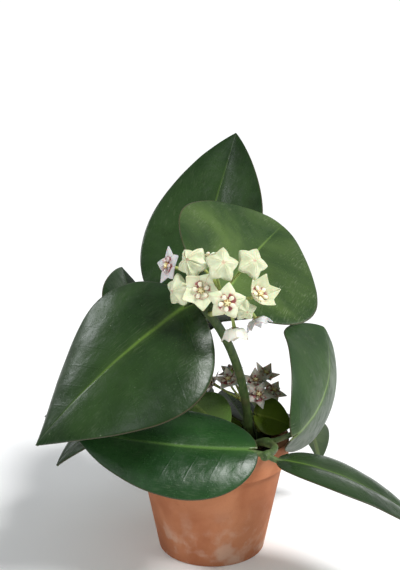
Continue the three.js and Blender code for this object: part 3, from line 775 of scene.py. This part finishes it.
def turned_shell(profile, sides=96):
    """A shell turned about the upright axis, from rings of radius and height in millimetres."""
    piece = new_piece(
        "circle", vertices=sides, radius=profile[0][0] * MM, location=(0, 0, profile[0][1] * MM))
    bpy.ops.object.mode_set(mode="EDIT")
    bpy.ops.mesh.edge_face_add()
    for (radius, z), (wider, higher) in zip(profile, profile[1:]):
        rise = {"value": (0, 0, (higher - z) * MM)}
        bpy.ops.mesh.extrude_region_move(TRANSFORM_OT_translate=rise)
        bpy.ops.transform.resize(value=(wider / radius, wider / radius, 1))
    bpy.ops.mesh.select_all(action="SELECT")
    bpy.ops.mesh.normals_make_consistent(inside=False)
    close()
    bpy.ops.object.transform_apply(location=True, rotation=True, scale=True)
    return piece


def clay_pot():
    height, rim, wall = POT.height, POT.rim, POT.wall
    under = height - POT.rim_height
    inner = wall_radius(height) - wall
    pot = turned_shell([
        (POT.base, 0), (wall_radius(under * 0.5), under * 0.5), (wall_radius(under), under),
        (rim - POT.rim_lean, under), (rim, under + POT.rim_round), (rim, height),
        (inner, height), (wall_radius(under) - wall, under),
        (POT.base - wall + POT.floor_round, POT.floor)])
    circle = POT.drain_circle * MM
    for number in range(POT.drain_holes):
        angle = 2 * pi * number / POT.drain_holes
        drill = new_piece(
            "cylinder", vertices=24, radius=POT.drain_radius * MM, depth=POT.drill * MM,
            location=(circle * cos(angle), circle * sin(angle), 0))
        hole = pot.modifiers.new("hole", "BOOLEAN")
        hole.object = drill
        hole.operation = "DIFFERENCE"
        hole.solver = "EXACT"
        apply_all(pot)
        bpy.data.objects.remove(drill)
    rounding = pot.modifiers.new("rounding", "BEVEL")
    rounding.width = POT.corner * MM
    rounding.segments = 4
    rounding.angle_limit = radians(35)
    apply_all(pot)
    coat(pot, fired_clay(), 40)
    return finish(pot, "Pot.clay", "clay", "pot")


def soil_height(x, y):
    across, away, slanting = SOIL.waves
    return SOIL.top + SOIL.relief * (
        sin(x * across + 1) * cos(y * away) + 0.5 * sin((x + y) * slanting))


def soil_in_pot():
    """The soil: its top is ringed with fine faces, then raised and crumbled."""

    def outer(z):
        return wall_radius(z) - POT.wall - SOIL.clear

    top = SOIL.top
    edge = top - SOIL.edge
    soil = turned_shell([
        (outer(POT.floor) + SOIL.clear, POT.floor + SOIL.clear),
        (outer(edge), edge), (outer(edge), top)])
    edit(soil)
    bpy.ops.mesh.select_all(action="DESELECT")
    close()
    for face in soil.data.polygons:
        face.select = face.center.z > (top - 0.1) * MM
    bpy.ops.object.mode_set(mode="EDIT")
    for _ in range(SOIL.rings):
        bpy.ops.mesh.inset(thickness=SOIL.ring_step * MM)
    close()
    for vertex in soil.data.vertices:
        place = vertex.co / MM
        if place.z > top - 0.1:
            crumble = noise.fractal(vertex.co * SOIL.crumb_scale, 0.8, 2, 4) * SOIL.crumb
            vertex.co.z = (soil_height(place.x, place.y) + crumble) * MM
    coat(soil, potting_soil())
    return finish(join(soil, *bark_chips(outer(top) - SOIL.edge)), "Soil.potting", "soil", "soil")


def bark_chips(reach):
    """Loose chips of bark, half sunk in the soil: one shaped, and the rest its copies."""
    draw = random.Random(7)
    chip = new_piece("cube", size=1)
    bpy.ops.object.mode_set(mode="EDIT")
    bpy.ops.mesh.subdivide(number_cuts=2, fractal=0.35, seed=3)
    close()
    coat(chip, bark(), 35)
    chips = []
    for _ in range(SOIL.chips):
        distance, angle = reach * draw.random() ** 0.5, draw.uniform(0, 2 * pi)
        x, y = distance * cos(angle), distance * sin(angle)
        length = draw.uniform(1.6, 5.2)
        size = Matrix.Diagonal(
            (length, length * draw.uniform(0.35, 0.7), length * draw.uniform(0.15, 0.4), 1))
        axis = (draw.gauss(0, 0.25), draw.gauss(0, 0.25), draw.uniform(-1, 1))
        turn = Quaternion(axis, draw.uniform(0, pi)).to_matrix().to_4x4()
        place = Matrix.Translation(metres((x, y, soil_height(x, y) + SOIL.chip_lift)))
        chips.append(copy_of(chip, place @ turn @ Matrix.Scale(MM, 4) @ size))
    bpy.data.objects.remove(chip)
    return chips


# ---- vines ----

def vine(name):
    """A vine, thicker where a petiole leaves it."""
    spec = VINES[name]
    nodes = [metres(leaf.node) for leaf in LEAVES.values() if leaf.vine == name]

    def radius_at(place, share):
        nearest = min((place - node).length for node in nodes) / MM
        swollen = VINE.swell * exp(-(nearest / VINE.swell_length) ** 2)
        ripple = VINE.ripple * noise.noise(place * VINE.ripple_scale)
        return mix(*spec["radius"], share) + swollen + ripple

    stem = tube(spec["points"], radius_at, MATERIALS["vine"], cuts=9, sides=4)
    return finish(stem, "Vine." + name, "vine", "vine_" + name)


# ---- leaves ----

def midrib(leaf):
    """The leaf's midrib as a function of s: its place, and the ways along, up from, left of it."""
    steps = BLADE.rib_steps

    def direction(s):
        pitch = radians(mix(*leaf.rise, s))
        heading = radians(leaf.heading[0] + leaf.heading[1] * s)
        flat = Vector((cos(heading), sin(heading), 0))
        return cos(pitch) * flat + sin(pitch) * UP, cos(pitch) * UP - sin(pitch) * flat

    places = [Vector(leaf.base)]
    for number in range(steps):
        step = direction((number + 0.5) / steps)[0] * (leaf.size[0] / steps)
        places.append(places[-1] + step)

    def rib(s):
        inside = min(max(s, 0), 1)
        cell = min(int(inside * steps), steps - 1)
        along, upright = direction(inside)
        left = upright.cross(along)
        roll = radians(mix(*leaf.roll, inside))
        place = places[cell].lerp(places[cell + 1], inside * steps - cell)
        place = place + along * (min(s, 0) * leaf.size[0])
        up = upright * cos(roll) + left * sin(roll)
        return place, along, up, left * cos(roll) - upright * sin(roll)

    return rib


def blade_width(s, point, blunt):
    """Half the blade's width at s, as a share of its widest half. Blunt closes the tip roundly."""
    widest = BLADE.base / (BLADE.base + point)
    closing = point * (1 - blunt * max(s, 0) ** BLADE.blunt_from)
    return (s / widest) ** BLADE.base * ((1 - s) / (1 - widest)) ** closing


def blade_place(leaf, rib, s, t, seed):
    """A point of the blade's middle surface, how far it is from the rib, and from the margin.

    s runs from 0 at the base to 1 at the tip, and t from -1 to 1 across the blade.
    """
    across, hand = abs(t), (t > 0) - (t < 0)
    lobed = s - BLADE.lobe * across ** BLADE.lobe_spread * (1 - s) ** BLADE.lobe_fade
    place, _, up, left = rib(lobed)
    length, width = leaf.size
    half = width / 2 * blade_width(s, leaf.point, leaf.blunt)
    fold, curl = (radians(value) for value in leaf.bend)
    slope = fold - curl * across
    out = half * (sin(fold) - sin(slope)) / curl
    out += BLADE.notch * across * (1 - s) ** BLADE.notch_fade
    arched = sin(pi * across)
    channel = ((across ** 2 + BLADE.channel ** 2) ** 0.5 - BLADE.channel - across) * (1 - across)
    course = vein_course(s, across * half * MM)
    quilt = BLADE.quilt * cos(2 * pi * VEINS.pairs * course) * arched
    ripple = BLADE.ripple * across ** 2 * noise.noise(Vector((s * 3.1, t * 1.3, seed)))
    swelling = BLADE.swelling * noise.noise(
        Vector((s * length, t * half, 40 * seed)) / BLADE.swelling_size)
    lift = half * ((cos(slope) - cos(fold)) / curl + BLADE.arch * arched + sin(fold) * channel)
    lift += (ripple + quilt + swelling) * min(half / BLADE.full_relief, 1)
    return place + left * (out * hand) + up * lift, half * across, half * (1 - across)


def blade(leaf, seed, face, back):
    """A grid laid over the leaf's surface, thick at the rib and thin at the margin."""
    grid = new_piece("grid", x_subdivisions=BLADE.across, y_subdivisions=BLADE.along, size=2)
    rib = midrib(leaf)

    def placing(x, y, _):
        t = -x * abs(x) ** 0.25
        s = (1 - cos(pi * (y + 1) / 2)) / 2
        place, from_rib, from_margin = blade_place(leaf, rib, s, t, seed)
        side = from_rib * MM * (1 if t > 0 else -1)
        return place * MM, (side, s, from_margin * MM), (1 - abs(t)) ** 0.7

    shape(grid, "blade", placing)
    return give_wall(grid, BLADE.rib, BLADE.margin, face, back)


def petiole(leaf):
    place, along, up, _ = midrib(leaf)(PETIOLE.seat)
    end = place + up * (PETIOLE.rise - PETIOLE.radius)
    start = Vector(leaf.node)
    control = end - along * ((end - start).length * PETIOLE.reach)

    def radius_at(_, share):
        foot = 1 + PETIOLE.foot * exp(-(share / PETIOLE.foot_fade) ** 2)
        return PETIOLE.radius * foot * (1 - PETIOLE.taper * share ** 8)

    return tube(arc(start, control, end), radius_at, MATERIALS["vine"], cuts=3, sides=4)


def leaf(name, seed):
    plan = LEAVES[name]
    under = "young_under" if plan.look == "young" else "leaf_under"
    face = blade(plan, seed, MATERIALS[plan.look + "_upper"], MATERIALS[under])
    return finish(join(face, petiole(plan)), "Leaf." + name, plan.slot, "leaf_" + name)


# ---- flowers ----

def facing(flower):
    """The matrix that takes a flower made round +Z to its place on the umbel."""
    tilt = UP.rotation_difference(Vector(flower.face).normalized())
    turn = Quaternion(UP, radians(flower.turn))
    return Matrix.Translation(metres(flower.at)) @ (tilt @ turn).to_matrix().to_4x4()


def from_petal_axis(angle):
    """0 on a petal's axis and 1 on the seam between two."""
    within = (angle / FIFTH) % 1
    return 2 * min(within, 1 - within)


def star_reach(offset, inner):
    """How far the corolla reaches, from a petal's tip (0) to the sinus between two (1)."""
    from_tip = FIFTH / 2 * offset
    height = inner * sin(FIFTH / 2)
    straight = height / (sin(from_tip) + inner * sin(FIFTH / 2 - from_tip))
    return straight + FLOWER.bulge * sin(pi * offset)


def petal_place(flower, angle, share):
    """A point of the corolla's middle surface, its offset from the petal's axis, how far out it is.

    The corolla is flat up to its floor's radius. Beyond it the petals rise on an arc.
    """
    offset = from_petal_axis(angle)
    whole = FLOWER.radius * flower.size
    whole *= star_reach(offset, FLOWER_LOOKS[flower.look]["sinus"])
    distance = whole * share
    beyond = max(distance - FLOWER.floor, 0)
    first, last = (radians(value) for value in flower.petals)
    fraction = beyond / (whole - FLOWER.floor)
    slope = mix(first, last, fraction)
    bend = (last - first) * fraction
    radius = beyond / bend if bend else 0
    out = min(distance, FLOWER.floor) + radius * (sin(slope) - sin(first))
    height = radius * (cos(first) - cos(slope))
    if not beyond:
        slope = 0

    rolled = FLOWER.roll * max((share - FLOWER.roll_from) / (1 - FLOWER.roll_from), 0) ** 2
    groove = FLOWER.groove * exp(-(offset / FLOWER.groove_width) ** 2) * sin(pi * min(share, 1))
    seam = FLOWER.seam * exp(-((1 - offset) / FLOWER.seam_width) ** 2) * min(share * 2, 1)
    petal = int(angle / FIFTH + 0.5) % 5
    waver = FLOWER.waver * fraction * noise.noise(
        Vector((petal * 3.3, flower.turn * 0.7, fraction * 1.5)))
    lift = waver * (1 - offset ** 2) - rolled - groove - seam
    out -= lift * sin(slope)
    height += lift * cos(slope)
    return Vector((out * cos(angle), out * sin(angle), height)) * MM, offset, distance * MM


def corolla(flower):
    """A strip bent round into a five-pointed star, thick at the heart and thin at the tips."""
    grid = new_piece("grid", x_subdivisions=80, y_subdivisions=12, size=1)

    def placing(x, y, _):
        share = y + 0.5
        place, offset, distance = petal_place(flower, -2 * pi * (x + 0.5), share)
        return place, (share, offset, distance), 1 - share ** 3

    shape(grid, "petal", placing)
    return give_wall(grid, FLOWER.thickness, FLOWER.edge,
                     MATERIALS[flower.look + "_petal"], MATERIALS[flower.look + "_back"])


def corona_knob(material):
    """One knob of the corona, pointing along +X: narrow at the heart, a raised ball outside."""
    def placing(x, y, z):
        outward = max(x / 2 + 0.5, 0)
        plump = mix(*KNOB.plump, outward)
        place = metres((
            KNOB.centre + KNOB.long * x, KNOB.wide * y * plump,
            KNOB.height + KNOB.high * z * plump + KNOB.rise * x))
        return place, (outward, z / 2 + 0.5, 0)

    ball = new_piece("uv_sphere", segments=20, ring_count=12, radius=1)
    return coat(shape(ball, "petal", placing), material)


def round_angle(flat):
    """The angle of a point about the flower's axis, or 0 close to it."""
    return flat.angle_signed(Vector((1, 0)), 0) if flat.length > 1e-4 else 0


def heart():
    """The five-rayed dome in the middle, with a dark slit between each two knobs."""
    def placing(x, y, z):
        ray = 0.5 + 0.5 * cos(5 * round_angle(Vector((x, y))))
        reach = 1 + HEART.ray * ray ** 2 * (1 - max(z, 0) ** 2)
        place = metres((x * reach, y * reach, HEART.height + z * HEART.dome))
        return place, (1 - z, ray ** 6 * (z < 0.4), 0)

    ball = new_piece("uv_sphere", segments=40, ring_count=14, radius=1)
    return coat(shape(ball, "petal", placing), MATERIALS["heart"])


def open_flower(name, flower):
    petals = corolla(flower)
    knob = corona_knob(MATERIALS[flower.look + "_corona"])
    whole = join(petals, heart(), *ring_of_five(knob, Matrix(), 36))
    whole.data.transform(facing(flower))
    return finish(whole, "Flower." + name, "petal", "flower_" + name)


def bud(name, flower):
    """Five petals closed edge to edge: a pinched star cushion with seams that meet at its apex."""
    seed = Vector((flower.turn, flower.bud, 3.7))
    lean = Vector((noise.noise(seed), noise.noise(seed.zxy))) * BUD.lean

    def placing(x, y, z):
        flat = Vector((x, y))
        rim = min(flat.length, 1)
        angle = round_angle(flat)
        offset = from_petal_axis(angle)
        corner = (1 - offset) ** 1.3
        wander = noise.noise(Vector((cos(angle), sin(angle), flower.turn)) * 1.3)
        reach = mix(1, mix(BUD.waist, 1, corner), rim) * (1 + BUD.wander * wander)
        seam = exp(-(offset / BUD.seam_width) ** 2) * (z > -0.3)
        height = BUD.rim * (1 + min(z, 0))
        if z > 0:
            flank = flower.parting * sin(pi * rim)
            height += BUD.crown * (z + 1 - rim ** 1.5) / 2
            height -= BUD.hollow * (1 - corner) * sin(pi * rim ** 1.5)
            height -= BUD.apex * exp(-(rim / BUD.apex_width) ** 2)
            height -= BUD.slit * seam * flank
            height += BUD.swelling * exp(-((offset - 0.3) / 0.15) ** 2) * flank
        place = flat * reach + lean * max(z, 0) ** 2
        return Vector((*place, height)) * flower.bud * MM, (z / 2 + 0.5, seam, rim)

    ball = new_piece("uv_sphere", segments=80, ring_count=28, radius=1)
    piece = coat(shape(ball, "petal", placing), MATERIALS["bud"])
    piece.data.transform(facing(flower))
    return finish(piece, "Bud." + name, "bud", "bud_" + name)


def sepals(flower):
    """Five small pointed sepals spread behind a flower."""
    piece = new_piece("cone", vertices=8, radius1=SEPAL.foot * MM, radius2=SEPAL.tip * MM,
                      depth=SEPAL.length * MM)
    piece.data.transform(
        Matrix.Translation(metres((SEPAL.out, 0, -SEPAL.back)))
        @ Matrix.Rotation(radians(SEPAL.spread), 4, "Y")
        @ Matrix.Translation(metres((0, 0, SEPAL.length / 2)))
        @ Matrix.Diagonal((SEPAL.flatness, 1, 1, 1)))
    round_off(piece)
    coat(piece, MATERIALS["sepal"])
    back = 0 if flower.bud else -SEPAL.behind_flower
    return ring_of_five(piece, facing(flower) @ Matrix.Translation(metres((0, 0, back))))


def stalks(name):
    """An umbel's peduncle, its pedicels and the calyx at the end of each."""
    umbel = UMBELS[name]
    start, bend, hub = (Vector(umbel[key]) for key in ("start", "bend", "hub"))

    def peduncle_radius(_, share):
        return STALK.peduncle * (1 + 0.5 * share ** 8 + 0.3 * exp(-(share / 0.1) ** 2))

    def pedicel_radius(_, share):
        return mix(STALK.pedicel, STALK.flare, share ** 6) + 0.5 * exp(-(share / 0.08) ** 2)

    quarters = arc(start, bend, hub, (0, 0.25, 0.5, 0.75, 1))
    parts = [tube(quarters, peduncle_radius, MATERIALS["stalk"])]
    calyces = []
    for flower in umbel["flowers"]:
        face = Vector(flower.face).normalized()
        behind = STALK.behind_bud if flower.bud else FLOWER.thickness / 2
        end = Vector(flower.at) - face * behind
        foot = hub.lerp(end, -STALK.into_hub)
        control = end - face * ((end - foot).length * STALK.reach)
        parts.append(tube(arc(foot, control, end), pedicel_radius, MATERIALS["stalk"]))
        calyces += sepals(flower)
    return finish(join(*parts, *calyces), "Stalks." + name, "stalk", "stalks_" + name)


# ---- stage, lights and camera ----

def placed(name, data):
    """A lamp or camera in the scene."""
    holder = bpy.data.objects.new(name, data)
    bpy.context.collection.objects.link(holder)
    return holder


def window(name, place, target, size, watts):
    """A soft rectangle of daylight that faces a target."""
    lamp = bpy.data.lights.new(name, "AREA")
    lamp.shape = "RECTANGLE"
    lamp.size, lamp.size_y = size
    lamp.energy = watts
    lamp.color = WINDOW_COLOUR
    holder = placed(name, lamp)
    holder.location = place
    towards = Vector(target) - Vector(place)
    holder.rotation_euler = towards.to_track_quat("-Z", "Y").to_euler()


def pale_floor():
    """A white floor without a visible end."""
    floor = new_piece("plane", size=1)
    floor.name = "Floor"
    floor.data.transform(Matrix.Diagonal((FLOOR.size, FLOOR.size, 1, 1)))
    paper = Paint("pale_floor", Roughness=0.9, Specular_IOR_Level=0.1,
                  Base_Color=(FLOOR.white,) * 3 + (1,))
    floor.data.materials.append(paper.material)
    floor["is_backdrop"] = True


def lights():
    """A dim room with a white backdrop, a soft sun from the upper right and three windows."""
    world = bpy.data.worlds.new("studio")
    world.use_nodes = True
    sky = world.node_tree.nodes["Background"]
    sky.inputs["Color"].default_value = (*ROOM.colour, 1)
    seen = Wire(world.node_tree).node("LightPath", {}, {}, "Is Camera Ray")
    glow = seen * (ROOM.backdrop - ROOM.light) + ROOM.light
    world.node_tree.links.new(glow.socket, sky.inputs["Strength"])
    bpy.context.scene.world = world
    bpy.context.scene.view_settings.view_transform = "Standard"

    sun = bpy.data.lights.new("sun", "SUN")
    sun.energy = SUN.strength
    sun.angle = radians(SUN.softness)
    towards = Vector(SUN.stands_towards)
    placed("sun", sun).rotation_euler = towards.to_track_quat("Z", "Y").to_euler()
    for name, row in WINDOWS.items():
        window(name, *row)


def portrait_camera():
    """The photograph's view: level with the leaves, ten degrees above them."""
    elevation = radians(CAMERA.elevation)
    camera = bpy.data.cameras.new("portrait")
    camera.lens = CAMERA.reach / CAMERA.picture * CAMERA.film
    camera.sensor_width = CAMERA.film
    camera.clip_start = 0.01
    holder = placed("portrait", camera)
    back = Vector((0, -cos(elevation), sin(elevation))) * CAMERA.distance
    holder.location = (Vector(CAMERA.sees) + back) * MM
    holder.rotation_euler = (radians(90) - elevation, 0, 0)
    bpy.context.scene.camera = holder


# ---- the whole plant ----

portrait_camera()
pale_floor()
lights()

MATERIALS = make_materials()

clay_pot()
soil_in_pot()
for vine_name in VINES:
    vine(vine_name)
for number, leaf_name in enumerate(LEAVES):
    leaf(leaf_name, number * 3.7)
for umbel_name, umbel in UMBELS.items():
    stalks(umbel_name)
    for number, flower in enumerate(umbel["flowers"], 1):
        make = bud if flower.bud else open_flower
        make(f"{umbel_name}_{number}", flower)

dressed_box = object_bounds()
